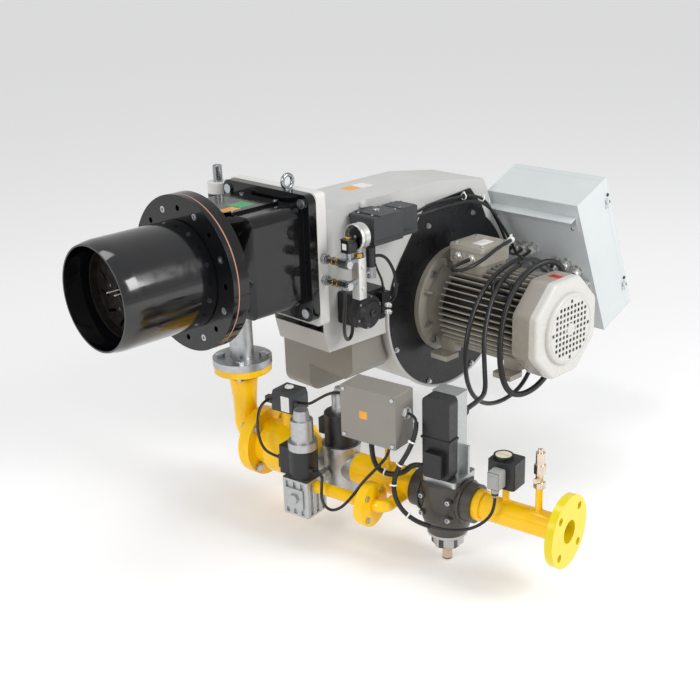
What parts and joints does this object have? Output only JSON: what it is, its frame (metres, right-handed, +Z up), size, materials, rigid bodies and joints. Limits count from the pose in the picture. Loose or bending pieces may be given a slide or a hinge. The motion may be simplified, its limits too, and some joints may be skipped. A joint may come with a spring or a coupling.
{
  "type": "industrial gas burner",
  "caption": "Flanged blast tube and head, swing-out fan unit with motor and control cabinet, and a yellow gas train with valves, switches, junction box and cables.",
  "frame": {"origin": "centre of the front face of the boiler flange, on the axis of the blast tube", "axes": "-X is the way the flame leaves, +Z is up, and the motor and the gas train point along -Y"},
  "size_m": [1.5252, 1.1327, 0.835],
  "materials": {
    "tube_black": "satin heat-resistant black paint",
    "head_black": "black gloss paint on cast aluminium",
    "gasket": "fibre gasket",
    "zinc_steel": "zinc-plated steel",
    "bare_steel": "bare turned steel",
    "silver_cast": "die-cast aluminium",
    "yellow_paint": "yellow gas-line enamel",
    "yellow_light": "light yellow enamel",
    "black_plastic": "black moulded plastic",
    "grey_plastic": "dark grey moulded plastic",
    "cream_plastic": "cream moulded plastic",
    "iron_grey": "dark grey painted cast iron",
    "box_taupe": "grey-taupe powder coat",
    "off_white": "off-white powder coat",
    "casing_grey": "light grey powder coat",
    "plate_black": "black powder coat",
    "motor_taupe": "grey-taupe motor paint on aluminium",
    "cover_silver": "silver-grey motor paint",
    "cabinet_grey": "light grey cabinet powder coat",
    "brass": "turned brass",
    "cable_black": "black rubber sheath",
    "ceramic": "glazed ceramic",
    "impeller_zinc": "galvanised sheet"
  },
  "bodies": {
    "head": {"blast_tube": "tube_black", "boiler_flange": "head_black", "flange_gasket": "gasket", "head_casting": "head_black", "head_cover": "head_black", "fasteners": "zinc_steel", "lifting_eyebolt": "bare_steel", "hinge_pin": "bare_steel", "gas_manifold": "silver_cast", "diffuser_disc": "bare_steel", "electrodes": "ceramic", "gas_elbow": "yellow_paint", "butterfly_body": "yellow_paint", "butterfly_servo": "grey_plastic", "safety_valve_body": "silver_cast", "safety_valve_coil": "black_plastic", "solenoid_caps": "silver_cast", "main_pipe": "yellow_paint", "pilot_pipe": "yellow_paint", "pilot_valve_body": "silver_cast", "pilot_valve_coil": "black_plastic", "main_valve_body": "iron_grey", "actuator_frame": "silver_cast", "actuator_cover": "black_plastic", "inlet_spool": "yellow_paint", "gas_pressure_switch": "cream_plastic", "test_cock": "brass", "junction_box": "box_taupe", "junction_box_lid": "box_taupe", "gas_train_cables": "cable_black"},
    "fan_body": {"mounting_plate": "off_white", "scroll_casing": "casing_grey", "side_plate": "plate_black", "fan_bolts": "zinc_steel", "damper_frame": "impeller_zinc", "air_servo": "grey_plastic", "air_intake_box": "box_taupe", "inlet_cone": "impeller_zinc", "motor_body": "motor_taupe", "fan_cover": "cover_silver", "terminal_box": "motor_taupe", "pressure_gauge": "bare_steel", "gauge_manifold": "brass", "manifold_valves": "black_plastic", "air_pressure_switch": "black_plastic", "panel_bracket": "cabinet_grey", "cabinet_body": "cabinet_grey", "actuator_cable": "cable_black", "actuator_plug": "black_plastic", "motor_supply_cable": "cable_black", "fan_leads": "cable_black"},
    "gas_butterfly": {"butterfly_disc": "bare_steel"},
    "valve_stem": {"valve_stem": "bare_steel"},
    "switch_dial": {"switch_dial": "cream_plastic"},
    "test_cock_button": {"test_cock_button": "brass"},
    "rotor": {"impeller": "impeller_zinc", "motor_shaft": "bare_steel"},
    "air_damper": {"damper_flap": "impeller_zinc"},
    "gauge_needle": {"gauge_needle": "black_plastic"},
    "cabinet_door": {"cabinet_door": "cabinet_grey"}
  },
  "joints": [
    {"name": "fan_swing", "type": "hinge", "parent": "head", "child": "fan_body", "pos_m": [0.273, 0.193, 0], "axis": [0, 0, 1], "range_deg": [0, 90]},
    {"name": "rotor_spin", "type": "hinge", "parent": "fan_body", "child": "rotor", "pos_m": [0.797, 0, -0.231], "axis": [0, 1, 0], "continuous": true},
    {"name": "air_damper_turn", "type": "hinge", "parent": "fan_body", "child": "air_damper", "pos_m": [0.431, -0.04, 0.028], "axis": [0, 1, 0], "range_deg": [0, 90]},
    {"name": "gas_butterfly_turn", "type": "hinge", "parent": "head", "child": "gas_butterfly", "pos_m": [0.18231, -0.14717, -0.47], "axis": [0, 0, 1], "range_deg": [0, 90]},
    {"name": "valve_lift", "type": "slide", "parent": "head", "child": "valve_stem", "axis": [0, 0, 1], "range_m": [0, 0.012]},
    {"name": "gauge_needle_turn", "type": "hinge", "parent": "fan_body", "child": "gauge_needle", "pos_m": [0.343, -0.232, 0.056], "axis": [1, 0, 0], "range_deg": [0, 270]},
    {"name": "switch_dial_turn", "type": "hinge", "parent": "head", "child": "switch_dial", "pos_m": [0.27586, -0.7378, -0.333], "axis": [0, 0, 1], "range_deg": [0, 270]},
    {"name": "test_cock_press", "type": "slide", "parent": "head", "child": "test_cock_button", "axis": [0, 0, -1], "range_m": [0, 0.004], "stiffness_N_per_m": 300},
    {"name": "cabinet_door_turn", "type": "hinge", "parent": "fan_body", "child": "cabinet_door", "pos_m": [1.17822, -0.424, -0.1161], "axis": [0.3827, 0, -0.9239], "range_deg": [0, 110]}
  ]
}
